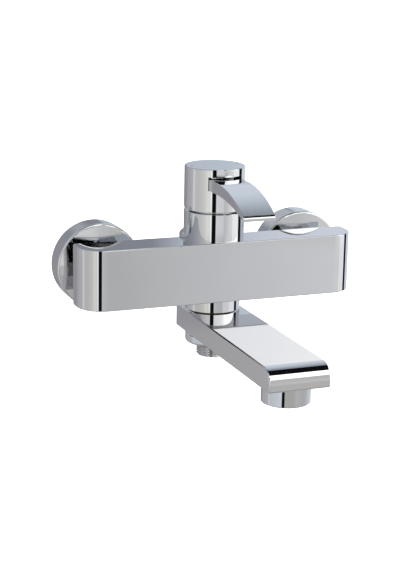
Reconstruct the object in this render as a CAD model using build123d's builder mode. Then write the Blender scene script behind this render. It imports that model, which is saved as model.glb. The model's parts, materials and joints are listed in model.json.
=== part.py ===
# Wall mounted bath and shower mixer: a flat bar body on two wall unions, a single lever on a round
# column, a flat swivel spout that diverts the water as it turns, and a shower outlet under its hub.
# Millimetres. The wall is the plane y = 0 and the room is towards -Y. The origin is midway between the
# two wall threads, on the wall's face. A depth is a distance from the wall towards the room.
import os
from math import asin, cos, degrees, radians, sin, sqrt, tan

from build123d import *

os.makedirs("parts", exist_ok=True)

# Wall unions, their nuts and the rosettes
inlet_spacing = 150.0
wall_thread_radius = 10.48
wall_thread_length = 18.0
wall_bore_radius = 7.0
union_offset = 8.0
union_collar_start = 1.5
union_collar_end = 8.0
union_thread_radius = 13.22
union_bore_radius = 9.0
rosette_radius = 29.5
rosette_depth = 16.1
rosette_cone = 6.0
rosette_wall = 1.6
rosette_round = 1.5
nut_across_flats = 30.0
nut_chamfer = 0.8
nut_lip = 3.0
nut_gap = 0.3
washer_thickness = 2.0
washer_land = 1.2
tail_collar_thickness = 3.0
tail_collar_radius = 12.6
tail_neck_radius = 10.3
tail_bore_radius = 7.5
tail_thread_length = 10.0
check_valve_length = 13.0
check_valve_wall = 1.5
check_valve_rib = 1.4
check_valve_stem_radius = 1.8
check_valve_poppet_thickness = 1.6
check_valve_poppet_gap = 0.8

# Bar body
bar_overhang = 23.9
bar_rear_depth = 31.0
bar_depth = 27.4
bar_height = 41.2
bar_corner_radius = 17.0
bar_rear_radius = 2.5
bar_edge_round = 0.6
bar_wall = 3.5
inlet_boss_wall = 3.2

# Column, rear hump and lower boss
axis_depth = 36.6
column_radius = 20.7
column_height = 19.1
column_round = 0.6
column_wall = 2.8
hump_extra = 1.1
hump_setback = 5.0
hump_rise = 3.1
hump_round = 2.5
boss_radius = 18.9
boss_height = 8.3

# Cartridge
pivot_drop = 2.1
ball_arm = 12.0
ball_radius = 2.6
ball_neck_radius = 1.7
ball_clearance = 0.15
stem_square = 8.0
stem_square_drop = 6.0
pin_radius = 2.0
pin_inset = 0.5
disc_thickness = 3.5
base_thickness = 5.2
driver_thickness = 5.2
driver_floor = 0.5
driver_rib_offset = 8.0
driver_rib_width = 1.8
driver_rib_height = 1.5
driver_rib_length = 9.0
carrier_flange = 2.8
carrier_neck_radius = 11.0
carrier_neck_rise = 5.7
housing_wall = 2.0
housing_roof = 2.2
housing_neck_wall = 2.1
housing_neck_rise = 3.7
port_radius = 3.2
inlet_port_x = 7.0
inlet_port_y = -5.0
outlet_port_y = 7.0
seal_width = 1.3
seal_height = 1.6
seal_proud = 0.3
feed_radius = 4.5
feed_drop = 13.0
ring_nut_step = 1.1
ring_nut_recess = 0.6
ring_nut_slot_width = 4.0
ring_nut_slot_depth = 2.0

# Dome under the handle
dome_wall = 1.2
dome_rise = 8.0
dome_clearance = 0.5
dome_skirt_length = 3.5

# Handle
lift_limit = 20.0
relief_margin = 0.5
relief_start = 1.0
cap_gap = 0.9
cap_height = 29.5
cap_wall = 3.0
cap_roof = 3.2
cap_round = 0.8
socket_rise = 13.7
socket_width = 16.0
socket_front = 7.0
socket_rear = 9.0
socket_depth = 13.0
lever_width = 22.6
lever_drop = 6.4
lever_root_thickness = 7.7
lever_reach = 77.5
lever_flat = 10.5
lever_belly_flat = 8.0
lever_fall = 14.0
lever_tip_thickness = 2.7
lever_tip_round = 3.0
lever_round = 0.5
slot_over = 1.0
slot_lip_round = 0.25
lever_screw_radius = 2.0
lever_screw_head_radius = 3.2
lever_screw_head = 2.4
lever_screw_setback = 10.8
pad_lead = 3.3
lever_screw_bite = 4.5
grub_radius = 2.5
grub_length = 5.0
grub_rise = 20.5
plug_radius = 3.2
plug_length = 2.6
dot_radius = 1.2
dot_depth = 0.8
dot_inset = 4.0

# Spout
spout_gap = 0.7
spout_thickness = 15.0
spout_width = 41.4
spout_front_depth = 182.5
spout_rear_reach = 21.4
spout_rear_radius = 8.0
spout_nose_radius = 10.0
spout_lower_round = 1.5
spout_edge_round = 0.9
hub_radius = 18.35
hub_height = 2.7
channel_width = 28.0
channel_floor = 2.7
channel_height = 8.3
channel_end_wall = 2.5
gallery_roof = 2.6
aerator_setback = 20.5
aerator_radius = 15.7
aerator_drop = 12.8
aerator_round = 0.8
aerator_shank_radius = 13.4
aerator_bore_radius = 11.4
aerator_lip = 0.9
aerator_seat_depth = 7.8
aerator_washer_thickness = 1.8
aerator_washer_width = 3.2
grid_plate = 3.0
grid_hole_radius = 1.0
grid_pitch = 2.75
grid_rings = 3

# Swivel stem, diverter and shower outlet
swing_limit = 60.0
stem_thread_radius = 11.0
stem_thread_length = 10.0
stem_radius = 12.5
stem_top_bore_radius = 7.0
spool_radius = 8.4
spool_port_circle = 5.2
spool_port_radius = 2.2
port_plate_thickness = 2.6
port_plate_drop = 1.0
window_height = 7.0
key_radius = 1.5
key_tip_radius = 2.8
o_ring_groove_depth = 1.9
o_ring_groove_width = 2.4
slip_ring_width = 3.8
slip_ring_thickness = 1.2
clamp_gap = 0.3
clamp_height = 6.1
clamp_round = 2.5
outlet_thread_length = 9.6
outlet_bore_radius = 7.0
outlet_shank_radius = 10.0
outlet_shank_length = 6.0
outlet_chamfer = 0.8

# Clearances
thread_clearance = 0.05
running_clearance = 0.06
free_clearance = 0.2
disc_film = 0.05
face_gap = 0.1

# Levels and places that follow from the sizes
bar_length = inlet_spacing + 2 * bar_overhang
bar_top = union_offset + bar_height / 2
bar_bottom = union_offset - bar_height / 2
column_top = bar_top + column_height
chamber_radius = column_radius - column_wall
cap_bottom = column_top + cap_gap
cap_top = cap_bottom + cap_height
cap_ceiling = cap_top - cap_roof
cap_bore_radius = column_radius - cap_wall
pivot_z = column_top - pivot_drop
boss_bottom = bar_bottom - boss_height
stem_thread_top = boss_bottom + stem_thread_length
centered = (Align.CENTER, Align.CENTER, Align.MIN)
column_axis = Axis((0, -axis_depth, 0), (0, 0, 1))
sides = (("left", -1), ("right", 1))


# An upright cylinder placed from the column's axis
def post(radius, bottom, top, x=0.0, y=0.0, mode=Mode.ADD):
    with Locations((x, y - axis_depth, bottom)):
        Cylinder(radius, top - bottom, align=centered, mode=mode)


# A cylinder that lies square to the wall, between two depths
def barrel(radius, near, far, x=0.0, z=0.0, mode=Mode.ADD):
    with Locations(Location((x, -near, z), (90, 0, 0))):
        Cylinder(radius, far - near, align=centered, mode=mode)


# A box on the column's axis, between two levels and two reaches along Y
def block(width, rear, front, bottom, top, x=0.0, mode=Mode.ADD):
    with Locations((x, (rear + front) / 2 - axis_depth, bottom)):
        Box(width, abs(front - rear), top - bottom, align=centered, mode=mode)


# Eccentric wall unions
union_end = bar_rear_depth - nut_gap - nut_lip - tail_collar_thickness - washer_thickness
for side, sign in sides:
    inlet_x = sign * inlet_spacing / 2
    with BuildPart() as union:
        barrel(wall_thread_radius, -wall_thread_length, union_collar_start, inlet_x)
        with BuildSketch(Plane((inlet_x, -union_collar_start, union_offset / 2), (0, 0, 1), (0, -1, 0))):
            SlotCenterToCenter(union_offset, 2 * union_thread_radius)
        extrude(amount=union_collar_end - union_collar_start)
        barrel(union_thread_radius, union_collar_end, union_end, inlet_x, union_offset)
        bore_turn = (union_collar_start + union_collar_end) / 2
        barrel(wall_bore_radius, -wall_thread_length, bore_turn, inlet_x, mode=Mode.SUBTRACT)
        barrel(union_bore_radius, bore_turn, union_end, inlet_x, union_offset, mode=Mode.SUBTRACT)
    union.part.label = f"wall_union_{side}"
    export_step(union.part, f"parts/wall_union_{side}.step")

# Rosettes that hide the wall holes: cups whose front rises in a shallow cone to the union
hole_radius = union_thread_radius + thread_clearance
rosette_front = rosette_depth + (rosette_radius - hole_radius) * tan(radians(rosette_cone))
for side, sign in sides:
    inlet_x = sign * inlet_spacing / 2
    with BuildPart() as rosette:
        with BuildSketch(Plane((inlet_x, 0, union_offset), (1, 0, 0), (0, 0, -1))) as section:
            hollow_radius = rosette_radius - rosette_wall
            with BuildLine():
                Polyline(
                    (hole_radius, rosette_front),
                    (rosette_radius, rosette_depth),
                    (rosette_radius, 0),
                    (hollow_radius, 0),
                    (hollow_radius, rosette_depth - rosette_wall),
                    (hole_radius, rosette_front - rosette_wall),
                    close=True,
                )
            make_face()
            fillet(section.vertices().group_by(Axis.X)[-1].sort_by(Axis.Y)[-1], rosette_round)
        revolve(axis=Axis((inlet_x, 0, union_offset), (0, -1, 0)))
    rosette.part.label = f"rosette_{side}"
    export_step(rosette.part, f"parts/rosette_{side}.step")

# Union nuts with the lip that pulls the tailpiece to the union
for side, sign in sides:
    inlet_x = sign * inlet_spacing / 2
    nut_rear = rosette_front + nut_gap
    nut_front = bar_rear_depth - nut_gap
    with BuildPart() as nut:
        with BuildSketch(Plane((inlet_x, -nut_rear, union_offset), (1, 0, 0), (0, -1, 0))):
            RegularPolygon(nut_across_flats / 2, 6, major_radius=False)
        extrude(amount=nut_front - nut_rear)
        chamfer(nut.edges().group_by(Axis.Y)[0], nut_chamfer)
        thread_radius = union_thread_radius + thread_clearance
        barrel(thread_radius, nut_rear, nut_front - nut_lip, inlet_x, union_offset, Mode.SUBTRACT)
        barrel(tail_neck_radius + free_clearance, nut_rear, nut_front, inlet_x, union_offset, Mode.SUBTRACT)
    nut.part.label = f"union_nut_{side}"
    export_step(nut.part, f"parts/union_nut_{side}.step")

# Flat washers between the unions and the tailpieces
for side, sign in sides:
    inlet_x = sign * inlet_spacing / 2
    with BuildPart() as washer:
        barrel(tail_collar_radius, union_end, union_end + washer_thickness, inlet_x, union_offset)
        eye_radius = tail_bore_radius + washer_land
        barrel(eye_radius, union_end, union_end + washer_thickness, inlet_x, union_offset, Mode.SUBTRACT)
    washer.part.label = f"union_washer_{side}"
    export_step(washer.part, f"parts/union_washer_{side}.step")

# Tailpieces screwed into the bar, each with the collar that the nut's lip holds
collar_depth = union_end + washer_thickness
tail_end = bar_rear_depth + tail_thread_length
for side, sign in sides:
    inlet_x = sign * inlet_spacing / 2
    with BuildPart() as tail:
        collar_end = collar_depth + tail_collar_thickness
        barrel(tail_collar_radius, collar_depth, collar_end, inlet_x, union_offset)
        barrel(tail_neck_radius, collar_depth, tail_end, inlet_x, union_offset)
        barrel(tail_bore_radius, collar_depth, tail_end, inlet_x, union_offset, Mode.SUBTRACT)
    tail.part.label = f"inlet_tailpiece_{side}"
    export_step(tail.part, f"parts/inlet_tailpiece_{side}.step")

# Check valves inside the tailpieces: a sleeve, a cross of ribs and the poppet on its stem
valve_near = tail_end - check_valve_length
for side, sign in sides:
    inlet_x = sign * inlet_spacing / 2
    with BuildPart() as valve:
        sleeve_radius = tail_bore_radius - thread_clearance
        barrel(sleeve_radius, valve_near, tail_end, inlet_x, union_offset)
        barrel(sleeve_radius - check_valve_wall, valve_near, tail_end, inlet_x, union_offset, Mode.SUBTRACT)
        rib_depth = valve_near + check_valve_length / 2
        rib_span = 2 * sleeve_radius - check_valve_wall
        with Locations((inlet_x, -rib_depth, union_offset)):
            Box(rib_span, check_valve_rib, check_valve_rib)
            Box(check_valve_rib, check_valve_rib, rib_span)
        poppet_radius = sleeve_radius - check_valve_wall - check_valve_poppet_gap
        poppet_end = valve_near + check_valve_poppet_thickness
        barrel(check_valve_stem_radius, poppet_end, rib_depth, inlet_x, union_offset)
        barrel(poppet_radius, valve_near, poppet_end, inlet_x, union_offset)
    valve.part.label = f"check_valve_{side}"
    export_step(valve.part, f"parts/check_valve_{side}.step")

# Cartridge levels, from the lever's pivot down to the chamber's floor
ball_z = pivot_z - ball_arm
driver_bottom = ball_z - ball_radius - ball_clearance - driver_floor
driver_top = driver_bottom + driver_thickness
moving_disc_bottom = driver_bottom - disc_thickness
fixed_disc_top = moving_disc_bottom - disc_film
fixed_disc_bottom = fixed_disc_top - disc_thickness
base_bottom = fixed_disc_bottom - base_thickness
chamber_floor = base_bottom - seal_proud
carrier_bottom = driver_top + free_clearance
carrier_flange_top = carrier_bottom + carrier_flange
cavity_top = carrier_flange_top + face_gap
shoulder_z = cavity_top + housing_roof
ring_nut_top = column_top - ring_nut_recess
ring_nut_radius = chamber_radius + ring_nut_step
housing_radius = chamber_radius - free_clearance
cavity_radius = housing_radius - housing_wall
housing_bore_radius = carrier_neck_radius + running_clearance
housing_neck_radius = housing_bore_radius + housing_neck_wall
disc_travel = ball_arm * sin(radians(lift_limit))
moving_disc_radius = cavity_radius - disc_travel - free_clearance
ports = ((-inlet_port_x, inlet_port_y), (inlet_port_x, inlet_port_y), (0, outlet_port_y))
feed_z = chamber_floor - feed_drop


# The bar's plan outline, with the two large front corners
def draw_bar_outline():
    with BuildSketch(mode=Mode.PRIVATE) as outline:
        with Locations((0, -(bar_rear_depth + bar_depth / 2))):
            Rectangle(bar_length, bar_depth)
        fillet(outline.vertices().group_by(Axis.Y)[0], bar_corner_radius)
        fillet(outline.vertices().group_by(Axis.Y)[-1], bar_rear_radius)
    return outline.sketch


# Mixer body, one hollow casting
bar_outline = draw_bar_outline()
with BuildPart() as mixer_body:
    with BuildSketch(Plane.XY.offset(bar_bottom)):
        add(bar_outline)
    extrude(amount=bar_height)
    fillet(mixer_body.edges().group_by(Axis.Z)[0] + mixer_body.edges().group_by(Axis.Z)[-1], bar_edge_round)

    # Rear hump that carries the column behind the bar
    with BuildSketch(Plane((0, hump_setback - axis_depth, bar_bottom + bar_edge_round))):
        Circle(column_radius + hump_extra)
    extrude(amount=bar_height + hump_rise - bar_edge_round)
    fillet(mixer_body.edges().group_by(Axis.Z)[-1], hump_round)

    # Column for the cartridge and boss for the outlet stem
    post(column_radius, bar_bottom + bar_wall, column_top)
    fillet(mixer_body.edges().group_by(Axis.Z)[-1], column_round)
    post(boss_radius, boss_bottom, bar_bottom + bar_wall)

    # Water rooms left and right of the column
    with BuildSketch(Plane.XY.offset(bar_bottom + bar_wall)):
        add(bar_outline)
        offset(amount=-bar_wall, mode=Mode.REPLACE)
        with Locations((0, -axis_depth)):
            Rectangle(2 * (column_radius + bar_wall), 4 * bar_depth, mode=Mode.SUBTRACT)
    extrude(amount=bar_height - 2 * bar_wall, mode=Mode.SUBTRACT)

    # Inlet bosses inside the rooms, with the tailpieces' threads
    for side, sign in sides:
        inlet_x = sign * inlet_spacing / 2
        boss_end = bar_rear_depth + tail_thread_length
        inlet_boss_radius = tail_neck_radius + inlet_boss_wall
        barrel(inlet_boss_radius, bar_rear_depth + bar_wall / 2, boss_end, inlet_x, union_offset)
        thread_radius = tail_neck_radius + thread_clearance
        barrel(thread_radius, bar_rear_depth, boss_end, inlet_x, union_offset, Mode.SUBTRACT)

    # Cartridge chamber and the ring nut's thread
    post(chamber_radius, chamber_floor, column_top, mode=Mode.SUBTRACT)
    post(ring_nut_radius + thread_clearance, shoulder_z, column_top, mode=Mode.SUBTRACT)

    # Hot and cold feeds from the rooms up to the chamber's floor
    for sign in (-1, 1):
        feed_length = column_radius + 2 * bar_wall - inlet_port_x
        feed_place = (sign * inlet_port_x, inlet_port_y - axis_depth, feed_z)
        with Locations(Location(feed_place, (0, 90 * sign, 0))):
            Cylinder(feed_radius, feed_length, align=centered, mode=Mode.SUBTRACT)
        post(port_radius, feed_z, chamber_floor, sign * inlet_port_x, inlet_port_y, Mode.SUBTRACT)

    # Mixed water goes down to the outlet stem's thread
    pocket_top = stem_thread_top + bar_wall
    post(port_radius, stem_thread_top, chamber_floor, 0, outlet_port_y, Mode.SUBTRACT)
    post(stem_thread_radius + thread_clearance, boss_bottom, pocket_top, mode=Mode.SUBTRACT)
mixer_body.part.label = "mixer_body"
export_step(mixer_body.part, "parts/mixer_body.step")

# Cartridge base with a seal groove round each port
seal_radius = port_radius + seal_width
with BuildPart() as cartridge_base:
    post(housing_radius, base_bottom, fixed_disc_bottom)
    for port_x, port_y in ports:
        post(port_radius, base_bottom, fixed_disc_bottom, port_x, port_y, Mode.SUBTRACT)
        groove_top = chamber_floor + seal_height
        post(seal_radius + thread_clearance, base_bottom, groove_top, port_x, port_y, Mode.SUBTRACT)
cartridge_base.part.label = "cartridge_base"
export_step(cartridge_base.part, "parts/cartridge_base.step")

# Port seals, squeezed between the base and the chamber's floor
with BuildPart() as port_seals:
    for port_x, port_y in ports:
        post(seal_radius, chamber_floor, chamber_floor + seal_height, port_x, port_y)
    for port_x, port_y in ports:
        post(port_radius, chamber_floor, chamber_floor + seal_height, port_x, port_y, Mode.SUBTRACT)
port_seals.part.label = "port_seals"
export_step(port_seals.part, "parts/port_seals.step")

# Fixed ceramic disc
with BuildPart() as fixed_disc:
    post(cavity_radius - thread_clearance, fixed_disc_bottom, fixed_disc_top)
    for port_x, port_y in ports:
        post(port_radius, fixed_disc_bottom, fixed_disc_top, port_x, port_y, Mode.SUBTRACT)
fixed_disc.part.label = "fixed_disc"
export_step(fixed_disc.part, "parts/fixed_disc.step")

# Moving ceramic disc with the mixing hollow in its underside
with BuildPart() as moving_disc:
    post(moving_disc_radius, moving_disc_bottom, driver_bottom)
    hollow_radius = moving_disc_radius - port_radius
    post(hollow_radius, moving_disc_bottom, moving_disc_bottom + disc_thickness / 2, mode=Mode.SUBTRACT)
moving_disc.part.label = "moving_disc"
export_step(moving_disc.part, "parts/moving_disc.step")

# Disc driver: the stem's ball sits in its pocket, and two ribs keep it square to the carrier
with BuildPart() as disc_driver:
    post(moving_disc_radius, driver_bottom, driver_top)
    post(ball_radius + ball_clearance, driver_bottom + driver_floor, driver_top, mode=Mode.SUBTRACT)
    for sign in (-1, 1):
        rib_half = driver_rib_length / 2
        rib_top = driver_top + driver_rib_height
        block(driver_rib_width, -rib_half, rib_half, driver_top, rib_top, sign * driver_rib_offset)
disc_driver.part.label = "disc_driver"
export_step(disc_driver.part, "parts/disc_driver.step")

# Carrier that turns in the housing's neck and holds the lever's pin
carrier_top = pivot_z + carrier_neck_rise
tilt_room = (carrier_neck_rise + stem_square) * tan(radians(lift_limit)) / 2
slot_half = stem_square / 2 + tilt_room + free_clearance
with BuildPart() as stem_carrier:
    post(cavity_radius - free_clearance, carrier_bottom, carrier_flange_top)
    post(carrier_neck_radius, carrier_flange_top, carrier_top)
    slot_width = stem_square + 2 * running_clearance
    block(slot_width, -slot_half, slot_half, carrier_bottom, carrier_top, mode=Mode.SUBTRACT)
    for sign in (-1, 1):
        groove_width = driver_rib_width + 2 * free_clearance
        groove_rear = driver_rib_length / 2 + free_clearance
        groove_front = -driver_rib_length / 2 - disc_travel - free_clearance
        groove_top = driver_top + driver_rib_height + free_clearance
        groove_x = sign * driver_rib_offset
        block(groove_width, groove_rear, groove_front, carrier_bottom, groove_top, groove_x, Mode.SUBTRACT)
    with Locations((0, -axis_depth, pivot_z)):
        Cylinder(pin_radius + thread_clearance, 2 * cavity_radius, rotation=(0, 90, 0), mode=Mode.SUBTRACT)
stem_carrier.part.label = "stem_carrier"
export_step(stem_carrier.part, "parts/stem_carrier.step")

# Pivot pin through the carrier and the stem
with BuildPart() as stem_pin:
    with Locations((0, -axis_depth, pivot_z)):
        Cylinder(pin_radius, 2 * (carrier_neck_radius - pin_inset), rotation=(0, 90, 0))
stem_pin.part.label = "stem_pin"
export_step(stem_pin.part, "parts/stem_pin.step")

# Cartridge housing
with BuildPart() as cartridge_housing:
    post(housing_radius, fixed_disc_bottom, shoulder_z)
    post(housing_neck_radius, shoulder_z, pivot_z + housing_neck_rise)
    post(cavity_radius, fixed_disc_bottom, cavity_top, mode=Mode.SUBTRACT)
    post(housing_bore_radius, cavity_top, pivot_z + housing_neck_rise, mode=Mode.SUBTRACT)
cartridge_housing.part.label = "cartridge_housing"
export_step(cartridge_housing.part, "parts/cartridge_housing.step")

# Ring nut that clamps the cartridge, with four spanner slots
ring_nut_bore = housing_neck_radius + 2 * free_clearance + dome_wall
with BuildPart() as ring_nut:
    post(ring_nut_radius, shoulder_z, ring_nut_top)
    post(ring_nut_bore, shoulder_z, ring_nut_top, mode=Mode.SUBTRACT)
    slot_floor = ring_nut_top - ring_nut_slot_depth
    slot_reach = 2 * ring_nut_radius
    block(ring_nut_slot_width, -slot_reach, slot_reach, slot_floor, ring_nut_top, mode=Mode.SUBTRACT)
    with Locations((0, -axis_depth, slot_floor)):
        Box(2 * slot_reach, ring_nut_slot_width, ring_nut_slot_depth, align=centered, mode=Mode.SUBTRACT)
ring_nut.part.label = "cartridge_ring_nut"
export_step(ring_nut.part, "parts/cartridge_ring_nut.step")

# Dome ring under the handle, a zone of a sphere about the lever's pivot
dome_radius = cap_bore_radius - dome_clearance
with BuildPart() as dome_ring:
    dome_base = ring_nut_top - pivot_z
    dome_place = Plane((0, -axis_depth, pivot_z), (1, 0, 0), (0, -1, 0))
    inner_radius = dome_radius - dome_wall
    with BuildSketch(dome_place):
        with BuildLine():
            outer_foot = (sqrt(dome_radius**2 - dome_base**2), dome_base)
            outer_rim = (sqrt(dome_radius**2 - dome_rise**2), dome_rise)
            inner_rim = (sqrt(inner_radius**2 - dome_rise**2), dome_rise)
            inner_foot = (sqrt(inner_radius**2 - dome_base**2), dome_base)
            RadiusArc(outer_foot, outer_rim, -dome_radius)
            Line(outer_rim, inner_rim)
            RadiusArc(inner_rim, inner_foot, inner_radius)
            Line(inner_foot, outer_foot)
        make_face()
    revolve(axis=column_axis)
    skirt_radius = ring_nut_bore - thread_clearance
    skirt_bottom = ring_nut_top - dome_skirt_length
    flange_top = ring_nut_top + dome_wall
    post(skirt_radius, skirt_bottom, flange_top)
    post(skirt_radius + dome_wall, ring_nut_top, flange_top)
    post(skirt_radius - dome_wall, skirt_bottom, flange_top, mode=Mode.SUBTRACT)
dome_ring.part.label = "dome_ring"
export_step(dome_ring.part, "parts/dome_ring.step")

# Stem that the lever tilts: a square shaft with a ball at its foot
with BuildPart() as cartridge_stem:
    stem_half = stem_square / 2
    stem_top = pivot_z + socket_rise + socket_depth - free_clearance
    block(stem_square, -stem_half, stem_half, pivot_z - stem_square_drop, stem_top)
    post(ball_neck_radius, ball_z, pivot_z)
    with Locations((0, -axis_depth, ball_z)):
        Sphere(ball_radius)
    with Locations((0, -axis_depth, pivot_z)):
        hole_radius = pin_radius + running_clearance
        Cylinder(hole_radius, 2 * stem_square, rotation=(0, 90, 0), mode=Mode.SUBTRACT)
cartridge_stem.part.label = "cartridge_stem"
export_step(cartridge_stem.part, "parts/cartridge_stem.step")

# Handle cap: a round shell with a socket for the stem, a slot for the lever and a sloping rear foot
lever_top = cap_top - lever_drop
lever_bottom = lever_top - lever_root_thickness
grub_z = pivot_z + grub_rise
dot_x = column_radius - dot_inset
with BuildPart() as handle_cap:
    post(column_radius, cap_bottom, cap_top)
    fillet(handle_cap.edges().group_by(Axis.Z)[-1], cap_round)
    fillet(handle_cap.edges().group_by(Axis.Z)[0], column_round)
    post(cap_bore_radius, cap_bottom, cap_ceiling, mode=Mode.SUBTRACT)

    # Relief that lets the rear edge sink while the lever rises
    with BuildSketch(Plane.YZ):
        with BuildLine():
            relief_end = column_radius + relief_start
            relief_rise = (relief_end - relief_start) * tan(radians(lift_limit + relief_margin))
            Polyline(
                (relief_start - axis_depth, cap_bottom - cap_gap),
                (relief_start - axis_depth, cap_bottom),
                (relief_end - axis_depth, cap_bottom + relief_rise),
                (relief_end - axis_depth, cap_bottom - cap_gap),
                close=True,
            )
        make_face()
    extrude(amount=2 * column_radius, both=True, mode=Mode.SUBTRACT)

    # Lever slot through the front wall
    slot_width = lever_width + 2 * free_clearance
    slot_inner = -sqrt(cap_bore_radius**2 - (slot_width / 2) ** 2) + free_clearance
    slot_floor = lever_bottom - free_clearance
    slot_roof = lever_top + slot_over
    block(slot_width, slot_inner, -2 * column_radius, slot_floor, slot_roof, mode=Mode.SUBTRACT)
    roof_edges = handle_cap.edges().filter_by_position(Axis.Z, slot_roof - face_gap, slot_roof + face_gap)
    fillet(roof_edges.sort_by(Axis.Y)[0], slot_lip_round)

    # Socket for the stem and the pad that the lever is screwed to
    socket_bottom = pivot_z + socket_rise
    block(socket_width, socket_rear, -socket_front, socket_bottom, cap_ceiling)
    pad_front = -lever_screw_setback - pad_lead
    block(socket_width, -socket_front, pad_front, lever_top, cap_ceiling)
    hole_half = stem_half + thread_clearance
    hole_top = stem_top + free_clearance
    block(2 * hole_half, -hole_half, hole_half, socket_bottom, hole_top, mode=Mode.SUBTRACT)
    screw_hole = lever_screw_radius + thread_clearance
    screw_end = lever_top + lever_screw_bite
    post(screw_hole, lever_top, screw_end, 0, -lever_screw_setback, Mode.SUBTRACT)

    # Grub screw thread, its access hole and the places of the two index dots
    grub_hole = grub_radius + thread_clearance
    barrel(grub_hole, axis_depth - socket_rear, axis_depth - stem_half, 0, grub_z, Mode.SUBTRACT)
    plug_hole = plug_radius + thread_clearance
    barrel(plug_hole, axis_depth - 2 * column_radius, axis_depth - socket_rear, 0, grub_z, Mode.SUBTRACT)
    for sign in (-1, 1):
        post(dot_radius + thread_clearance, cap_top - dot_depth, cap_top, sign * dot_x, 0, Mode.SUBTRACT)
handle_cap.part.label = "handle_cap"
export_step(handle_cap.part, "parts/handle_cap.step")

# Lever blade: flat at the cap, then curving down and thinning to its tip
with BuildPart() as lever:
    tongue_y = -socket_front - free_clearance - axis_depth
    root_y = -column_radius - axis_depth
    tip_top = (-lever_reach - axis_depth, lever_top - lever_fall)
    tip_bottom = (tip_top[0], tip_top[1] - lever_tip_thickness)
    belly_start = (root_y - lever_belly_flat, lever_bottom)
    with BuildSketch(Plane.YZ) as lever_side:
        with BuildLine():
            tongue_top = Line((tongue_y, lever_top), (root_y - lever_flat, lever_top))
            TangentArc(tongue_top @ 1, tip_top, tangent=(-1, 0))
            Line(tip_top, tip_bottom)
            TangentArc(belly_start, tip_bottom, tangent=(-1, 0))
            Line(belly_start, (tongue_y, lever_bottom))
            Line((tongue_y, lever_bottom), tongue_top @ 0)
        make_face()
        fillet(lever_side.vertices().group_by(Axis.X)[0].sort_by(Axis.Y)[-1], lever_tip_round)
    extrude(amount=lever_width / 2, both=True)
    flanks = lever.faces().sort_by(Axis.X)
    fillet(flanks[0].edges() + flanks[-1].edges(), lever_round)
    screw_way = lever_screw_radius + free_clearance
    post(screw_way, lever_bottom, lever_top, 0, -lever_screw_setback, Mode.SUBTRACT)
lever.part.label = "lever"
export_step(lever.part, "parts/lever.step")

# Screw that holds the lever's tongue up against the pad
with BuildPart() as lever_screw:
    shank_end = screw_end - free_clearance
    post(lever_screw_radius, lever_bottom, shank_end, 0, -lever_screw_setback)
    head_bottom = lever_bottom - lever_screw_head
    post(lever_screw_head_radius, head_bottom, lever_bottom, 0, -lever_screw_setback)
    with BuildSketch(Plane((0, -lever_screw_setback - axis_depth, head_bottom))):
        RegularPolygon(lever_screw_radius, 6)
    extrude(amount=lever_screw_head / 2, mode=Mode.SUBTRACT)
lever_screw.part.label = "lever_screw"
export_step(lever_screw.part, "parts/lever_screw.step")

# Grub screw that clamps the handle to the stem
with BuildPart() as grub_screw:
    grub_near = axis_depth - stem_half - grub_length
    barrel(grub_radius, grub_near, axis_depth - stem_half, 0, grub_z)
    with BuildSketch(Plane((0, -grub_near, grub_z), (1, 0, 0), (0, -1, 0))):
        RegularPolygon(grub_radius / 2, 6)
    extrude(amount=grub_length / 2, mode=Mode.SUBTRACT)
grub_screw.part.label = "grub_screw"
export_step(grub_screw.part, "parts/grub_screw.step")

# Plug that hides the grub screw's access hole
with BuildPart() as access_plug:
    plug_near = axis_depth - column_radius + free_clearance
    barrel(plug_radius, plug_near, plug_near + plug_length, 0, grub_z)
access_plug.part.label = "access_plug"
export_step(access_plug.part, "parts/access_plug.step")

# Hot and cold index dots let into the cap's top
for name, sign in (("hot_dot", -1), ("cold_dot", 1)):
    with BuildPart() as dot:
        post(dot_radius, cap_top - dot_depth, cap_top, sign * dot_x)
    dot.part.label = name
    export_step(dot.part, f"parts/{name}.step")

# Spout and outlet levels
spout_top = boss_bottom - spout_gap
spout_bottom = spout_top - spout_thickness
hub_bottom = spout_bottom - hub_height
clamp_top = hub_bottom - clamp_gap
clamp_bottom = clamp_top - clamp_height
channel_bottom = spout_bottom + channel_floor
channel_top = channel_bottom + channel_height
window_z = channel_bottom + window_height / 2
window_top = channel_bottom + window_height
plate_top = boss_bottom - port_plate_drop
plate_bottom = plate_top - port_plate_thickness
outlet_shank_top = clamp_bottom + outlet_shank_length
slip_ring_top = clamp_top + slip_ring_thickness
hub_bore_radius = stem_radius + running_clearance
slip_ring_bore = stem_radius + thread_clearance
slip_ring_radius = slip_ring_bore + slip_ring_width
groove_radius = stem_radius - o_ring_groove_depth
key_slot_half = key_radius + free_clearance
key_half_angle = swing_limit + degrees(asin(key_slot_half / spool_radius))
window_half_angle = swing_limit + degrees(asin(spool_port_radius / spool_radius))
groove_levels = ((spout_top + window_top) / 2, (slip_ring_top + channel_bottom) / 2)


# A pie slice about the column's axis that looks along +Y or -Y
def draw_sector(facing, half_angle, radius):
    with BuildLine() as slice_edge:
        arc = CenterArc((0, 0), radius, facing * 90 - half_angle, 2 * half_angle)
        Line((0, 0), arc @ 0)
        Line(arc @ 1, (0, 0))
    make_face(slice_edge.edges())


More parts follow.
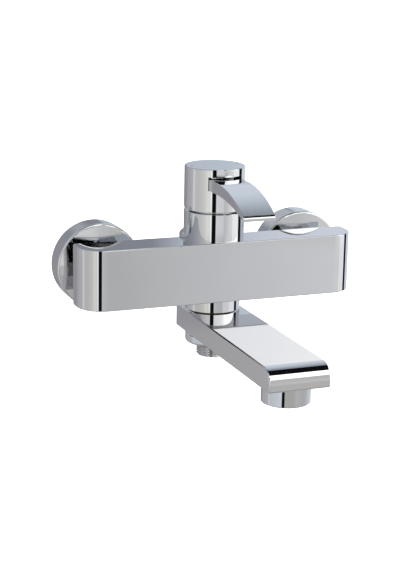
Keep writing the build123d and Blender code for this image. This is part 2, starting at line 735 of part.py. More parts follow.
# Outlet stem: screwed into the boss, it carries the spout and holds the fixed port of the diverter
with BuildPart() as outlet_stem:
    post(stem_thread_radius, boss_bottom, stem_thread_top)
    post(stem_radius, clamp_bottom, boss_bottom)
    post(stem_top_bore_radius, plate_top, stem_thread_top, mode=Mode.SUBTRACT)
    post(spool_port_radius, plate_bottom, plate_top, 0, -spool_port_circle, Mode.SUBTRACT)
    post(spool_radius + running_clearance, outlet_shank_top, plate_bottom, mode=Mode.SUBTRACT)
    shank_hole = outlet_shank_radius + thread_clearance
    post(shank_hole, clamp_bottom, outlet_shank_top, mode=Mode.SUBTRACT)
    with BuildSketch(Plane((0, -axis_depth, channel_bottom))):
        draw_sector(-1, window_half_angle, 2 * stem_radius)
    extrude(amount=window_height, mode=Mode.SUBTRACT)
    with BuildSketch(Plane((0, -axis_depth, window_z - key_slot_half))):
        draw_sector(1, key_half_angle, 2 * stem_radius)
    extrude(amount=2 * key_slot_half, mode=Mode.SUBTRACT)
    for groove_z in groove_levels:
        with BuildSketch(Plane((0, -axis_depth, groove_z - o_ring_groove_width / 2))):
            Circle(2 * stem_radius)
            Circle(groove_radius, mode=Mode.SUBTRACT)
        extrude(amount=o_ring_groove_width, mode=Mode.SUBTRACT)
outlet_stem.part.label = "outlet_stem"
export_step(outlet_stem.part, "parts/outlet_stem.step")

# Two O-rings in the stem's grooves
with BuildPart() as stem_o_rings:
    ring_section = (o_ring_groove_depth - thread_clearance) / 2
    for groove_z in groove_levels:
        with Locations((0, -axis_depth, groove_z)):
            Torus(stem_radius - ring_section, ring_section)
stem_o_rings.part.label = "stem_o_rings"
export_step(stem_o_rings.part, "parts/stem_o_rings.step")

# Slip rings above and below the spout's hub
with BuildPart() as upper_slip_ring:
    post(slip_ring_radius, spout_top + face_gap, boss_bottom)
    post(slip_ring_bore, spout_top + face_gap, boss_bottom, mode=Mode.SUBTRACT)
upper_slip_ring.part.label = "upper_slip_ring"
export_step(upper_slip_ring.part, "parts/upper_slip_ring.step")

with BuildPart() as lower_slip_ring:
    post(slip_ring_radius, clamp_top, slip_ring_top)
    post(slip_ring_bore, clamp_top, slip_ring_top, mode=Mode.SUBTRACT)
lower_slip_ring.part.label = "lower_slip_ring"
export_step(lower_slip_ring.part, "parts/lower_slip_ring.step")

# Round nut that holds the spout up on the stem
with BuildPart() as spout_nut:
    post(hub_radius, clamp_bottom, clamp_top)
    fillet(spout_nut.edges().group_by(Axis.Z)[0], clamp_round)
    post(slip_ring_bore, clamp_bottom, clamp_top, mode=Mode.SUBTRACT)
spout_nut.part.label = "spout_nut"
export_step(spout_nut.part, "parts/spout_nut.step")

# Shower nipple screwed into the stem's foot
with BuildPart() as shower_nipple:
    outlet_bottom = clamp_bottom - outlet_thread_length
    post(wall_thread_radius, outlet_bottom, clamp_bottom)
    chamfer(shower_nipple.edges().group_by(Axis.Z)[0], outlet_chamfer)
    post(outlet_shank_radius, clamp_bottom, outlet_shank_top)
    post(outlet_bore_radius, outlet_bottom, outlet_shank_top, mode=Mode.SUBTRACT)
shower_nipple.part.label = "shower_nipple"
export_step(shower_nipple.part, "parts/shower_nipple.step")

# Diverter spool: turned with the spout, it leads the fixed port to the spout or down to the shower
with BuildPart() as diverter_spool:
    spool_top = plate_bottom - face_gap
    spool_bottom = outlet_shank_top + face_gap
    post(spool_radius, spool_bottom, spool_top)
    post(spool_port_radius, window_z, spool_top, 0, -spool_port_circle, Mode.SUBTRACT)
    port_depth = axis_depth + spool_port_circle
    barrel(spool_port_radius, port_depth, port_depth + spool_radius, 0, window_z, Mode.SUBTRACT)
    for sign in (-1, 1):
        bypass_x = sign * spool_port_circle * sin(radians(swing_limit))
        bypass_y = -spool_port_circle * cos(radians(swing_limit))
        post(spool_port_radius, spool_bottom, spool_top, bypass_x, bypass_y, Mode.SUBTRACT)
    key_hole = key_radius + thread_clearance
    key_end = axis_depth - key_tip_radius
    barrel(key_hole, axis_depth - 2 * spool_radius, key_end, 0, window_z, Mode.SUBTRACT)
diverter_spool.part.label = "diverter_spool"
export_step(diverter_spool.part, "parts/diverter_spool.step")

# Key pin from the spout's rear into the spool
with BuildPart() as spout_key:
    key_start = axis_depth - spout_rear_reach + free_clearance
    barrel(key_radius, key_start, key_end, 0, window_z)
spout_key.part.label = "spout_key"
export_step(spout_key.part, "parts/spout_key.step")

# Spout: a flat bar with a rounded nose, a water channel and a short hub ring under its root
aerator_y = axis_depth + aerator_setback - spout_front_depth
seat_z = spout_bottom + aerator_seat_depth
with BuildPart() as spout_body:
    spout_rear_depth = axis_depth - spout_rear_reach
    spout_length = spout_front_depth - spout_rear_depth
    with BuildSketch(Plane.YZ) as spout_side:
        with Locations((-spout_rear_depth - spout_length / 2, spout_bottom + spout_thickness / 2)):
            Rectangle(spout_length, spout_thickness)
        fillet(spout_side.vertices().group_by(Axis.X)[0].sort_by(Axis.Y)[-1], spout_nose_radius)
        fillet(spout_side.vertices().group_by(Axis.X)[0].sort_by(Axis.Y)[0], spout_lower_round)
    extrude(amount=spout_width / 2, both=True)
    fillet(spout_body.edges().filter_by(Axis.Z).group_by(Axis.Y)[-1], spout_rear_radius)
    flanks = spout_body.faces().sort_by(Axis.X)
    rim_edges = flanks[0].edges() + flanks[-1].edges()
    fillet(rim_edges.filter_by(Axis.Z, reverse=True), spout_edge_round)
    post(hub_radius, hub_bottom, spout_bottom + channel_floor)

    # Bore for the stem, seat for the lower slip ring and the key's hole
    post(hub_bore_radius, hub_bottom, spout_top, mode=Mode.SUBTRACT)
    post(slip_ring_radius + free_clearance, hub_bottom, slip_ring_top + face_gap, mode=Mode.SUBTRACT)
    barrel(key_hole, spout_rear_depth, axis_depth - stem_radius, 0, window_z, Mode.SUBTRACT)

    # Channel to the gallery over the aerator, and the aerator's threaded seat
    channel_end = aerator_y + aerator_shank_radius + channel_end_wall
    block(channel_width, 0, channel_end, channel_bottom, channel_top, mode=Mode.SUBTRACT)
    gallery_bottom = seat_z + channel_end_wall / 2
    gallery_top = spout_top - gallery_roof
    drop_radius = aerator_shank_radius - aerator_washer_width
    gallery_rear = channel_end + channel_end_wall
    block(2 * drop_radius, gallery_rear, aerator_y, gallery_bottom, gallery_top, mode=Mode.SUBTRACT)
    post(drop_radius, seat_z, gallery_top, 0, aerator_y, Mode.SUBTRACT)
    post(aerator_shank_radius, spout_bottom, seat_z, 0, aerator_y, Mode.SUBTRACT)
spout_body.part.label = "spout_body"
export_step(spout_body.part, "parts/spout_body.step")

# Aerator housing with the lip that keeps the insert
aerator_bottom = spout_bottom - aerator_drop
shank_top = seat_z - aerator_washer_thickness
insert_bottom = aerator_bottom + aerator_lip
with BuildPart() as aerator_housing:
    post(aerator_radius, aerator_bottom, spout_bottom, 0, aerator_y)
    fillet(aerator_housing.edges().group_by(Axis.Z)[0], aerator_round)
    post(aerator_shank_radius - thread_clearance, spout_bottom, shank_top, 0, aerator_y)
    post(aerator_bore_radius, insert_bottom, shank_top, 0, aerator_y, Mode.SUBTRACT)
    post(aerator_bore_radius - aerator_lip, aerator_bottom, insert_bottom, 0, aerator_y, Mode.SUBTRACT)
aerator_housing.part.label = "aerator_housing"
export_step(aerator_housing.part, "parts/aerator_housing.step")

# Aerator insert: a cup whose floor is a grid of round holes
with BuildPart() as aerator_insert:
    insert_radius = aerator_bore_radius - thread_clearance
    post(insert_radius, insert_bottom, shank_top, 0, aerator_y)
    post(insert_radius - aerator_lip, insert_bottom + grid_plate, shank_top, 0, aerator_y, Mode.SUBTRACT)
    post(grid_hole_radius, insert_bottom, insert_bottom + grid_plate, 0, aerator_y, Mode.SUBTRACT)
    for ring in range(1, grid_rings + 1):
        with Locations((0, aerator_y - axis_depth, insert_bottom)):
            with PolarLocations(ring * grid_pitch, 6 * ring):
                Cylinder(grid_hole_radius, grid_plate, align=centered, mode=Mode.SUBTRACT)
aerator_insert.part.label = "aerator_insert"
export_step(aerator_insert.part, "parts/aerator_insert.step")

# Aerator washer
with BuildPart() as aerator_washer:
    post(aerator_shank_radius - thread_clearance, shank_top, seat_z, 0, aerator_y)
    post(drop_radius, shank_top, seat_z, 0, aerator_y, Mode.SUBTRACT)
aerator_washer.part.label = "aerator_washer"
export_step(aerator_washer.part, "parts/aerator_washer.step")
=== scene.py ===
# Looks of a chromed wall mounted bath mixer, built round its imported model
# Metres, wall at y = 0, room towards -Y
import json
import math
import bmesh
import bpy
from mathutils import Matrix, Vector


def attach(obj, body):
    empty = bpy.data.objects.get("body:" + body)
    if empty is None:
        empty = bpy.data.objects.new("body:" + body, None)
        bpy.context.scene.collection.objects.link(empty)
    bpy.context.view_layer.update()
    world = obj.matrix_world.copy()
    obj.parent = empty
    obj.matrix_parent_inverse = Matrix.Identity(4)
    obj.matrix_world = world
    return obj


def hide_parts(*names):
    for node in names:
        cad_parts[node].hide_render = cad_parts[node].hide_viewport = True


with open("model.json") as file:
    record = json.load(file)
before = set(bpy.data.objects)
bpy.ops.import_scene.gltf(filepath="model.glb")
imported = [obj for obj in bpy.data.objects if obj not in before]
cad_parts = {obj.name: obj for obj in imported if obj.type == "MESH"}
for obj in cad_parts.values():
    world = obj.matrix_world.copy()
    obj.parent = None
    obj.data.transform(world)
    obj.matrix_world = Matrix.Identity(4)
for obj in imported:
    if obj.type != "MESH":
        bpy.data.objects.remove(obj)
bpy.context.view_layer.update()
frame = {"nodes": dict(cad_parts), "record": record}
print("frame loaded:", len(frame["nodes"]), "nodes")

mm = 0.001


def linear(hexColour):
    channels = [int(hexColour[i:i + 2], 16) / 255 for i in (1, 3, 5)]
    return tuple(c / 12.92 if c <= 0.04045 else ((c + 0.055) / 1.055) ** 2.4 for c in channels) + (1.0,)


# adds one node: stops fill a colour ramp, other settings go to inputs by name or number,
# or to the node itself
def addNode(tree, kind, settings=None, links=None):
    node = tree.nodes.new(kind)
    for key, value in (settings or {}).items():
        if key == "stops":
            while len(node.color_ramp.elements) < len(value):
                node.color_ramp.elements.new(0.5)
            for element, (position, colour) in zip(node.color_ramp.elements, value):
                element.position = position
                element.color = colour
        elif isinstance(key, int) or key in node.inputs:
            node.inputs[key].default_value = value
        else:
            setattr(node, key, value)
    for socket, source in (links or {}).items():
        tree.links.new(source, node.inputs[socket])
    return node


# camera, at the photograph's own viewpoint
cameraSet = {
    "azimuth": -21.56,
    "elevation": 14.49,
    "roll": 1.09,
    "distance": 1029.31,
    "target": (-18.46, -60.0, 1.28),
    "focalPixels": 1534.95,
    "longSidePixels": 570,
    "sensorWidth": 36.0,
    "clip": (0.05, 100.0),
}


def placeCamera(setup):
    turn, rise, roll = (math.radians(setup[key]) for key in ("azimuth", "elevation", "roll"))
    back = Vector((math.sin(turn) * math.cos(rise), -math.cos(turn) * math.cos(rise), math.sin(rise)))
    right = Vector((math.cos(turn), math.sin(turn), 0))
    up = back.cross(right)
    rolledRight = right * math.cos(roll) + up * math.sin(roll)
    rolledUp = up * math.cos(roll) - right * math.sin(roll)
    data = bpy.data.cameras.new("photoCamera")
    data.sensor_width = setup["sensorWidth"]
    data.lens = setup["focalPixels"] * setup["sensorWidth"] / setup["longSidePixels"]
    data.clip_start, data.clip_end = setup["clip"]
    camera = bpy.data.objects.new("photoCamera", data)
    matrix = Matrix((rolledRight, rolledUp, back)).transposed().to_4x4()
    matrix.translation = (Vector(setup["target"]) + back * setup["distance"]) * mm
    camera.matrix_world = matrix
    bpy.context.scene.collection.objects.link(camera)
    bpy.context.scene.camera = camera


placeCamera(cameraSet)
print("camera placed")

# studio: five rings of cards round the room, by azimuth from the front towards the right. A card's colour
# is how it looks in the chrome, and a third number makes it brighter than paper white. Each ring fades into
# the one above between the two heights of its From pair, in degrees
studio = {
    "level": 1.56,
    "footCards": (
        (-180, "#7E7C82"), (-165, "#888687"), (-155, "#A09E9F"), (-139, "#A2A0A4"), (-113, "#ABAAAD"),
        (-108, "#C6C6C7"), (-98, "#B4B8BE"), (-60, "#BEC3CA"), (-45, "#C6CACE"), (-43, "#C2C4C8"),
        (-41.5, "#0C0C0F"), (-30, "#0A0A0C"), (-28, "#A2A19E"), (13, "#A4A3A1"), (22, "#AEACAA"),
        (27, "#B0AEAC"), (60, "#A6A7A7"), (83, "#ACAEB1"), (102, "#C0C3C8"), (160, "#B0B3BA"),
        (180, "#7E7C82"),
    ),
    "lowCards": (
        (-180, "#7E7C82"), (-165, "#868487"), (-155, "#959398"), (-139, "#A2A0A6"), (-113, "#ABAAAD"),
        (-108, "#C6C6C7"), (-103, "#C6C6C6"), (-98, "#B1B0B0"), (-82, "#B0AFAD"), (-60, "#BAB9B5"),
        (-46, "#CFCEC8"), (-39, "#C5C4C0"), (-36.5, "#C4C3C0"), (-34.5, "#E4E4E2"), (-30.8, "#E6E6E4"),
        (-29.2, "#0C0C0F"), (-15.2, "#0A0A0C"), (-13.4, "#BEBEBE"), (-8, "#B2B2B2"), (13, "#ABABAC"),
        (18, "#A9A9A9"), (22, "#B8B9BB"), (27, "#C5C6C8"), (49, "#CACBCB"), (51, "#B6B8BA"),
        (53, "#D9DADC"), (83, "#DCDDDF"), (84.5, "#0E0E12"), (100, "#101014"), (102, "#C2C5CE"),
        (160, "#B6B9C2"), (180, "#7E7C82"),
    ),
    "midCards": (
        (-180, "#7E7C82"), (-155, "#8A888D"), (-139, "#9E9DA3"), (-113, "#A9A9AD"), (-108, "#C8C8C9"),
        (-103, "#C8C8C8"), (-98, "#B4B4B4"), (-82, "#B6B6B4"), (-60, "#C4C4C0"), (-45, "#D8D8D3"),
        (-36.5, "#D2D2CE"), (-34.5, "#EEEEEC"), (-31, "#F0F0EE"), (-29.2, "#0C0C0F"), (-15.2, "#0A0A0C"),
        (-13.4, "#D2D3D4"), (-8, "#C9CBCC"), (14.5, "#C7C7C7"), (17.4, "#B9B9B9"), (22, "#B5B5B5"),
        (27, "#BDBDBD"), (49, "#D4D4D4"), (51, "#C6C8CA"), (53, "#E4E4E6"), (82.5, "#EAEAEC"),
        (84, "#101014"), (100, "#101014"), (102, "#C8CCD4"), (148, "#BCC1C9"), (156, "#A8B0B8"),
        (164, "#80848A"), (180, "#7E7C82"),
    ),
    "upperCards": (
        (-180, "#7C7F86"), (-150, "#868990"), (-110, "#969AA2"), (-70, "#B4B6BA"), (-45, "#D4D4D2"),
        (-31, "#E0E0DE"), (-29.2, "#0A0A0C"), (-15.2, "#0A0A0C"), (-13.4, "#F0F0F0"),
        (19.5, "#FFFFFF", 1.05), (23, "#FFFFFF", 1.08), (27, "#FFFFFF", 1.2), (33, "#FFFFFF", 1.4),
        (82.5, "#FFFFFF", 1.4), (84, "#101014"), (100, "#101014"), (102, "#B6BCC4"), (140, "#B2B8C1"),
        (153, "#BCC1CA"), (156, "#B4BAC4"), (157.5, "#A7AFB8"), (159.1, "#A2AAB4"), (159.6, "#767A82"),
        (180, "#7A7D84"),
    ),
    "highCards": (
        (-180, "#A6A9B0"), (-165, "#A6A9B0"), (-150, "#9A9DA4"), (-110, "#9A9EA6"), (-70, "#B0B2B6"),
        (-45, "#D0D0CE"), (-31, "#DCDCDA"), (-29.2, "#0A0A0C"), (-15.2, "#0A0A0C"), (-13.4, "#F4F4F4"),
        (19.5, "#FFFFFF", 1.2), (30, "#FFFFFF", 1.45), (82.5, "#FFFFFF", 1.45), (84, "#101014"),
        (96, "#101014"), (100, "#9299A2"), (126, "#A2AAB3"), (138, "#ADB5BE"), (150, "#C2CAD3"),
        (160, "#BCC4CD"), (166, "#A4A8AF"), (180, "#A6A9B0"),
    ),
    "ceiling": "#16171A",
    "underfoot": "#8C8C8C",
    "lowFrom": (-16.4, -15.8),
    "midFrom": (-13.1, -12.4),
    "upperFrom": (7.5, 10.0),
    "highFrom": (17.5, 24.0),
    "ceilingFrom": (52.0, 86.0),
    "underfootFrom": (-30.0, -60.0),
    "floorLevel": -1.5,
    "floorReach": 40.0,
    "floorSquares": 8,
    "floorRoughness": 0.9,
    "softboxPlace": (0.9, -1.6, 1.3),
    "softboxSize": 1.2,
    "softboxPower": 14.0,
}


def buildStudio(setup):
    world = bpy.data.worlds.new("studio")
    bpy.context.scene.world = world
    world.use_nodes = True
    tree = world.node_tree
    tree.nodes.clear()
    coordinate = addNode(tree, "ShaderNodeTexCoord")
    axes = addNode(tree, "ShaderNodeSeparateXYZ", links={0: coordinate.outputs["Generated"]})
    toFront = addNode(tree, "ShaderNodeMath", {"operation": "MULTIPLY", 1: -1.0}, {0: axes.outputs["Y"]})
    azimuth = addNode(tree, "ShaderNodeMath", {"operation": "ARCTAN2"},
                      {0: axes.outputs["X"], 1: toFront.outputs[0]})
    turn = addNode(tree, "ShaderNodeMapRange", {1: -math.pi, 2: math.pi}, {0: azimuth.outputs[0]})
    rise = addNode(tree, "ShaderNodeMath", {"operation": "ARCSINE"}, {0: axes.outputs["Z"]})
    rings = {}
    for key in ("footCards", "lowCards", "midCards", "upperCards", "highCards"):
        stops = []
        for place, card, *gain in setup[key]:
            brightness = gain[0] if gain else 1.0
            stops.append(((place + 180) / 360, [c * brightness for c in linear(card)]))
        rings[key] = addNode(tree, "ShaderNodeValToRGB", {"stops": stops}, {0: turn.outputs[0]}).outputs[0]
    colour = rings["footCards"]
    layers = (
        ("lowFrom", rings["lowCards"]),
        ("midFrom", rings["midCards"]),
        ("upperFrom", rings["upperCards"]),
        ("highFrom", rings["highCards"]),
        ("ceilingFrom", setup["ceiling"]),
        ("underfootFrom", setup["underfoot"]),
    )
    for key, above in layers:
        start, end = (math.radians(a) for a in setup[key])
        share = addNode(tree, "ShaderNodeMapRange", {"interpolation_type": "SMOOTHSTEP", 1: start, 2: end},
                        {0: rise.outputs[0]})
        mix = addNode(tree, "ShaderNodeMix", {"data_type": "RGBA"}, {0: share.outputs[0], 6: colour})
        if isinstance(above, str):
            mix.inputs[7].default_value = linear(above)
        else:
            tree.links.new(above, mix.inputs[7])
        colour = mix.outputs[2]
    cards = addNode(tree, "ShaderNodeBackground", {"Strength": setup["level"]}, {"Color": colour})
    backdrop = addNode(tree, "ShaderNodeBackground", {"Color": (1, 1, 1, 1), "Strength": 1.0})
    path = addNode(tree, "ShaderNodeLightPath")
    choose = addNode(tree, "ShaderNodeMixShader",
                     links={0: path.outputs["Is Camera Ray"], 1: cards.outputs[0], 2: backdrop.outputs[0]})
    addNode(tree, "ShaderNodeOutputWorld", links={"Surface": choose.outputs[0]})


def buildFloor(setup):
    bm = bmesh.new()
    squares = setup["floorSquares"]
    bmesh.ops.create_grid(bm, x_segments=squares, y_segments=squares, size=setup["floorReach"])
    mesh = bpy.data.meshes.new("studioFloor")
    bm.to_mesh(mesh)
    bm.free()
    floor = bpy.data.objects.new("studioFloor", mesh)
    floor.location.z = setup["floorLevel"]
    bpy.context.scene.collection.objects.link(floor)
    floor.visible_glossy = False    # the chrome sees the cards, not this sheet
    material = bpy.data.materials.new("paleStudioPaper")
    material.use_nodes = True
    shader = material.node_tree.nodes["Principled BSDF"]
    shader.inputs["Base Color"].default_value = linear("#FFFFFF")
    shader.inputs["Roughness"].default_value = setup["floorRoughness"]
    shader.inputs["Emission Color"].default_value = linear("#FFFFFF")
    shader.inputs["Emission Strength"].default_value = 1.0
    mesh.materials.append(material)


def hangSoftbox(setup):
    data = bpy.data.lights.new("softbox", "AREA")
    data.size = setup["softboxSize"]
    data.energy = setup["softboxPower"]
    light = bpy.data.objects.new("softbox", data)
    light.location = setup["softboxPlace"]
    light.rotation_mode = "QUATERNION"
    light.rotation_quaternion = light.location.to_track_quat("Z", "Y")
    light.visible_glossy = False
    bpy.context.scene.collection.objects.link(light)


# flaps of the light tent, near enough that each piece sees them in another place. Corners in mm
flaps = {
    "frontFlap": {
        "look": "#0A0A0C",
        "corners": ((-323, -640, 170), (190, -640, 170), (190, -640, 340), (-323, -640, 340)),
    },
    "sideFlap": {
        "look": "#0A0A0C",
        "corners": ((190, -640, 316), (262, -640, 316), (262, -640, 340), (190, -640, 340)),
    },
    "greyFlap": {
        "look": "#B4B3B0",
        "corners": ((170, -640, -25), (256, -640, -25), (256, -640, 148), (170, -640, 148)),
    },
    "topFlap": {
        "look": "#0A0A0C",
        "corners": ((90, -480, 400), (420, -480, 400), (420, -141, 400), (90, -141, 400)),
    },
}


def hangFlaps(setup, level):
    for name, flapSet in setup.items():
        mesh = bpy.data.meshes.new(name)
        mesh.from_pydata([Vector(corner) * mm for corner in flapSet["corners"]], [], [(0, 1, 2, 3)])
        flap = bpy.data.objects.new(name, mesh)
        bpy.context.scene.collection.objects.link(flap)
        material = bpy.data.materials.new(name + "Felt")
        material.use_nodes = True
        shader = material.node_tree.nodes["Principled BSDF"]
        shader.inputs["Base Color"].default_value = linear("#000000")
        shader.inputs["Roughness"].default_value = 1.0
        shader.inputs["Specular IOR Level"].default_value = 0.0
        shader.inputs["Emission Color"].default_value = linear(flapSet["look"])
        shader.inputs["Emission Strength"].default_value = level
        mesh.materials.append(material)
        flap.visible_camera = False    # only the chrome sees them
        flap.visible_diffuse = False
        flap.visible_shadow = False


buildStudio(studio)
buildFloor(studio)
hangSoftbox(studio)
hangFlaps(flaps, studio["level"])
bpy.context.scene.view_settings.view_transform = "Standard"
print("studio built")

# finishes, each named for the real material and for how its surface was made
finishes = {}
noiseSpan = (0.3, 0.7)    # most of the noise lies between these


def startFinish(name):
    material = bpy.data.materials.new(name)
    material.use_nodes = True
    tree = material.node_tree
    coordinate = addNode(tree, "ShaderNodeTexCoord")
    return material, tree, tree.nodes["Principled BSDF"], coordinate.outputs["Object"]


# noise that goes from one colour to the other, and from one roughness to the other, over grains of a
# real size in mm
def clothe(slot, name, look):
    material, tree, shader, place = startFinish(name)
    shader.inputs["Metallic"].default_value = look["metallic"]
    for socket, value in look.get("sockets", {}).items():
        shader.inputs[socket].default_value = value
    cloud = addNode(tree, "ShaderNodeTexNoise", {"Scale": 1 / (look["cloudSize"] * mm), "Detail": 3.0},
                    {"Vector": place})
    stops = [(share, linear(colour)) for share, colour in zip(noiseSpan, look["colours"])]
    tone = addNode(tree, "ShaderNodeValToRGB", {"stops": stops}, {0: cloud.outputs["Fac"]})
    tree.links.new(tone.outputs[0], shader.inputs["Base Color"])
    haze = addNode(tree, "ShaderNodeTexNoise", {"Scale": 1 / (look["hazeSize"] * mm), "Detail": 4.0},
                   {"Vector": place})
    smooth, dull = look["roughness"]
    rough = addNode(tree, "ShaderNodeMapRange", {1: noiseSpan[0], 2: noiseSpan[1], 3: smooth, 4: dull},
                    {0: haze.outputs["Fac"]})
    tree.links.new(rough.outputs[0], shader.inputs["Roughness"])
    if "ringSize" in look:    # turning marks, one wave to each ring
        waveScale = 2 * math.pi / (20 * look["ringSize"] * mm)
        marks = addNode(tree, "ShaderNodeTexWave",
                        {"wave_type": "BANDS", "bands_direction": look["ringAxis"], "Scale": waveScale,
                         "Distortion": 0.6},
                        {"Vector": place})
    else:
        marks = addNode(tree, "ShaderNodeTexNoise", {"Scale": 1 / (look["reliefSize"] * mm), "Detail": 2.0},
                        {"Vector": place})
    relief = addNode(tree, "ShaderNodeBump", {"Strength": 1.0, "Distance": look["reliefDepth"] * mm},
                     {"Height": marks.outputs["Fac"]})
    tree.links.new(relief.outputs[0], shader.inputs["Normal"])
    finishes[slot] = material


# bright nickel and chrome on brass, buffed: a mirror with a faint swim in it and thin haze from cleaning
clothe("chrome", "buffedChromePlate", {
    "metallic": 1.0, "colours": ("#CFD0D2", "#D2D3D4"), "cloudSize": 40, "hazeSize": 14,
    "roughness": (0.02, 0.05), "reliefSize": 9, "reliefDepth": 0.003})
# free cutting brass from the lathe: yellow, with turning rings drawn coarser than the real feed
clothe("brass", "turnedBrass", {
    "metallic": 1.0, "colours": ("#C9A45A", "#D8B671"), "cloudSize": 12, "hazeSize": 4,
    "roughness": (0.2, 0.36), "ringSize": 0.5, "ringAxis": "Y", "reliefDepth": 0.01})
# stainless steel rod: grey, drawn and turned
clothe("steel", "turnedStainlessSteel", {
    "metallic": 1.0, "colours": ("#B5B6B8", "#C6C7C9"), "cloudSize": 8, "hazeSize": 3,
    "roughness": (0.22, 0.36), "ringSize": 0.4, "ringAxis": "Z", "reliefDepth": 0.006})
# moulded acetal: milky white with a dull sheen
clothe("white_plastic", "mouldedAcetal", {
    "metallic": 0.0, "colours": ("#E3E2DC", "#ECEBE6"), "cloudSize": 15, "hazeSize": 3,
    "roughness": (0.38, 0.5), "reliefSize": 0.6, "reliefDepth": 0.01})
# lapped alumina: dense ivory white, nearly polished
clothe("ceramic", "lappedAlumina", {
    "metallic": 0.0, "colours": ("#EFEBE2", "#F5F2EA"), "cloudSize": 6, "hazeSize": 2,
    "roughness": (0.12, 0.2), "reliefSize": 0.5, "reliefDepth": 0.002, "sockets": {"IOR": 1.76}})
# nitrile rubber: soft black, matt
clothe("rubber", "mouldedNitrileRubber", {
    "metallic": 0.0, "colours": ("#161616", "#1F1F1F"), "cloudSize": 5, "hazeSize": 1.5,
    "roughness": (0.6, 0.78), "reliefSize": 0.4, "reliefDepth": 0.02})
# black acetal slip rings: smooth and slightly waxy
clothe("slip_plastic", "turnedBlackAcetal", {
    "metallic": 0.0, "colours": ("#191A1C", "#222326"), "cloudSize": 6, "hazeSize": 2,
    "roughness": (0.34, 0.46), "ringSize": 0.4, "ringAxis": "Z", "reliefDepth": 0.006})
# moulded grey polypropylene of the aerator's grid
clothe("aerator_plastic", "mouldedGreyPolypropylene", {
    "metallic": 0.0, "colours": ("#A9AEB5", "#B6BBC1"), "cloudSize": 6, "hazeSize": 2,
    "roughness": (0.4, 0.55), "reliefSize": 0.5, "reliefDepth": 0.012})
# pressed plug in grey ABS with a gloss skin
clothe("plug_plastic", "mouldedGreyAbs", {
    "metallic": 0.0, "colours": ("#A7AAAE", "#B2B5B9"), "cloudSize": 5, "hazeSize": 2,
    "roughness": (0.16, 0.26), "reliefSize": 0.6, "reliefDepth": 0.004})
# fired enamel in the two index dots
clothe("hot_mark", "firedRedEnamel", {
    "metallic": 0.0, "colours": ("#643C3A", "#6E4441"), "cloudSize": 1.5, "hazeSize": 0.8,
    "roughness": (0.12, 0.2), "reliefSize": 0.5, "reliefDepth": 0.003, "sockets": {"Coat Weight": 0.6}})
clothe("cold_mark", "firedBlueEnamel", {
    "metallic": 0.0, "colours": ("#364258", "#3E4B63"), "cloudSize": 1.5, "hazeSize": 0.8,
    "roughness": (0.12, 0.2), "reliefSize": 0.5, "reliefDepth": 0.003, "sockets": {"Coat Weight": 0.6}})
print("finishes made:", len(finishes))

for part in frame["record"]["subparts"]:
    node = frame["nodes"][part["node"]]
    node.data.materials.clear()
    node.data.materials.append(finishes[part["material_slot"]])
# the bar's front shows no image of the spout in the photograph, so the spout is left out of mirror images
for name in ("spout_body", "aerator_housing", "aerator_insert", "aerator_washer"):
    frame["nodes"][name].visible_glossy = False
print("CAD nodes finished")

# turned pieces with real pipe threads, which the solids only give as plain cylinders
turnSteps = 96
sharpAngle = 40    # degrees, edges above this stay crisp
pipeThread = {
    "rowsPerPitch": 12,
    "rounding": 0.45,
    "runIn": 1.3,
    "relief": 1.4,
    "mouth": 0.4,
}


def circle(radius, level, centre=(0.0, 0.0)):
    points = []
    for step in range(turnSteps):
        angle = 2 * math.pi * step / turnSteps
        across = centre[0] + radius * math.cos(angle)
        along = centre[1] + radius * math.sin(angle)
        points.append(Vector((across, along, level)))
    return points


# one ring of the thread: its radius changes with the angle, so that the ridge climbs by one pitch in a turn
def threadRing(thread, level, crestRadius):
    points = []
    rounding = pipeThread["rounding"]
    for step in range(turnSteps):
        angle = 2 * math.pi * step / turnSteps
        phase = level / thread["pitch"] - step / turnSteps
        ridge = abs(2 * (phase % 1) - 1)
        rounded = (1 - rounding) * ridge + rounding * (0.5 - 0.5 * math.cos(math.pi * ridge))
        radius = min(thread["radius"] - thread["depth"] * (1 - rounded), crestRadius)
        points.append(Vector((radius * math.cos(angle), radius * math.sin(angle), level)))
    return points


# rings from the shoulder at level 0 to the free end, and the bore back
def threadedTube(thread, length, bore):
    mouth = pipeThread["mouth"]
    root = thread["radius"] - thread["depth"]
    count = round(length / thread["pitch"] * pipeThread["rowsPerPitch"])
    rings = [circle(root, 0.0)]
    for row in range(1, count):
        level = length * row / count
        fromEnd = length - level
        crest = thread["radius"]
        if fromEnd < pipeThread["runIn"]:
            crest = root + thread["depth"] * fromEnd / pipeThread["runIn"]
        if level < pipeThread["relief"]:
            crest = root
        rings.append(threadRing(thread, level, crest))
    rings.append(circle(root - mouth / 2, length))
    rings.append(circle(bore + mouth, length))
    rings.append(circle(bore, length - mouth))
    rings.append(circle(bore, 0.0))
    return rings


def addShell(bm, rings, place):
    made = [[bm.verts.new(place @ (point * mm)) for point in ring] for ring in rings]
    for ring, after in zip(made, made[1:] + made[:1]):
        for step in range(turnSteps):
            beside = (step + 1) % turnSteps
            bm.faces.new((ring[step], ring[beside], after[beside], after[step]))


def finishPiece(bm, name, body, slotName, node):
    bmesh.ops.recalc_face_normals(bm, faces=bm.faces)
    mesh = bpy.data.meshes.new(name)
    bm.to_mesh(mesh)
    bm.free()
    mesh.shade_smooth()
    mesh.set_sharp_from_angle(angle=math.radians(sharpAngle))
    piece = bpy.data.objects.new(name, mesh)
    bpy.context.scene.collection.objects.link(piece)
    mesh.materials.append(finishes[slotName])
    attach(piece, body)
    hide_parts(node)


# the two pipe threads, with the radius over the crests, in mm
halfInchPipe = {"radius": 10.478, "pitch": 1.814, "depth": 1.162}
threeQuarterPipe = {"radius": 13.22, "pitch": 1.814, "depth": 1.162}

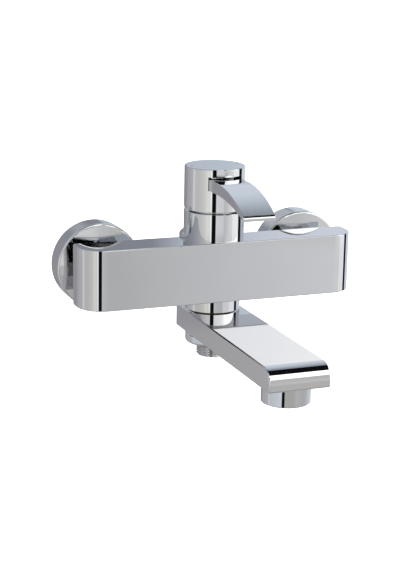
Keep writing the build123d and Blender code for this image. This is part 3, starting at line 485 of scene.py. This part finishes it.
# shower nipple under the spout
nipple = {
    "axis": (0.0, -36.6),
    "shoulder": -45.7,
    "length": 9.6,
    "bore": 7.0,
    "shankRadius": 10.0,
    "shankTop": -39.7,
}


def buildNipple(setup):
    bm = bmesh.new()
    down = Matrix.Rotation(math.pi, 4, "X")
    down.translation = Vector((setup["axis"][0], setup["axis"][1], setup["shoulder"])) * mm
    threadRings = threadedTube(halfInchPipe, setup["length"], setup["bore"])
    shank = setup["shankTop"] - setup["shoulder"]
    shankRings = [
        circle(setup["bore"], -shank),
        circle(setup["shankRadius"], -shank),
        circle(setup["shankRadius"], 0.0),
    ]
    addShell(bm, shankRings + threadRings[:-1], down)
    finishPiece(bm, "showerNippleThreaded", "mixer", "chrome", "shower_nipple")


buildNipple(nipple)

# eccentric wall unions: a wall thread, a flat sided collar and the nut's thread, 8 mm higher
union = {
    "spacing": 150.0,
    "offset": 8.0,
    "wallLength": 18.0,
    "collarStart": 1.5,
    "collarEnd": 8.0,
    "collarRadius": 13.22,
    "collarEdge": 0.6,
    "tipDepth": 22.7,
    "wallBore": 7.0,
    "nutBore": 9.0,
}


# an outline of two half circles round the two bores
def slotOutline(radius, level, offset):
    points = []
    for step in range(turnSteps):
        angle = 2 * math.pi * step / turnSteps
        shift = offset if math.sin(angle) > 0 else 0.0
        points.append(Vector((radius * math.cos(angle), shift + radius * math.sin(angle), level)))
    return points


def buildUnion(setup, name, sign):
    bm = bmesh.new()
    inlet = sign * setup["spacing"] / 2
    wallward = Matrix(((1, 0, 0, 0), (0, 0, 1, 0), (0, -1, 0, 0), (0, 0, 0, 1)))
    wallward.translation = Vector((inlet, -setup["collarStart"], 0)) * mm
    wallLength = setup["wallLength"] + setup["collarStart"]
    addShell(bm, threadedTube(halfInchPipe, wallLength, setup["wallBore"]), wallward)
    roomward = Matrix(((1, 0, 0, 0), (0, 0, -1, 0), (0, 1, 0, 0), (0, 0, 0, 1)))
    edge, radius, offset = setup["collarEdge"], setup["collarRadius"], setup["offset"]
    near, far = setup["collarStart"], setup["collarEnd"]
    collar = [
        circle(setup["wallBore"], near),
        slotOutline(radius - edge, near, offset),
        slotOutline(radius, near + edge, offset),
        slotOutline(radius, far - edge, offset),
        slotOutline(radius - edge, far, offset),
        circle(setup["nutBore"], far, (0.0, offset)),
    ]
    roomward.translation = Vector((inlet, 0, 0)) * mm
    addShell(bm, collar, roomward)
    roomward.translation = Vector((inlet, -far, offset)) * mm
    addShell(bm, threadedTube(threeQuarterPipe, setup["tipDepth"] - far, setup["nutBore"]), roomward)
    finishPiece(bm, f"wallUnionThreaded.{name}", "mixer", "brass", f"wall_union_{name}")


for name, sign in (("left", -1), ("right", 1)):
    buildUnion(union, name, sign)
print("threaded pieces made")
